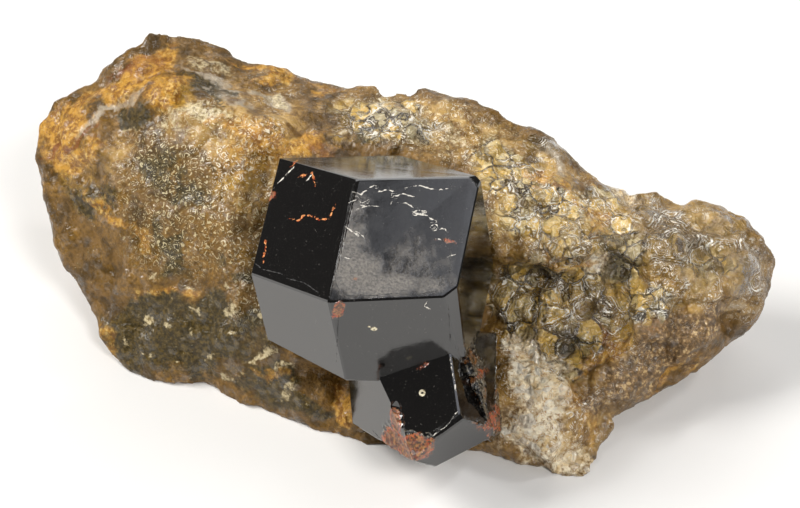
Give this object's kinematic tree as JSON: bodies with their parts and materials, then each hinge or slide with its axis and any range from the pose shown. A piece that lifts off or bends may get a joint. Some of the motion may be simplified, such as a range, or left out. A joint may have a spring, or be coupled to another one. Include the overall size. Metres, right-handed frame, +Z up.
{
  "type": "garnet in matrix",
  "caption": "Mineral specimen: black rhombic-dodecahedral garnet crystals grown on a rough smoky quartz and feldspar rock that rests on a flat underside.",
  "frame": {"origin": "on the rock's flat underside, at table level, below the middle of the specimen's show face", "axes": "+X along the specimen's length to its narrow glassy end, -Y out of the show face with the garnets, +Z up from the underside"},
  "size_m": [0.0688, 0.0429, 0.0283],
  "materials": {
    "garnet": "lustrous natural crystal faces, near black with deep red chips",
    "rock": "rough broken smoky quartz and cream feldspar with orange iron stain"
  },
  "bodies": {
    "root": {"garnet_crystals": "garnet", "quartz_matrix": "rock"}
  },
  "joints": []
}
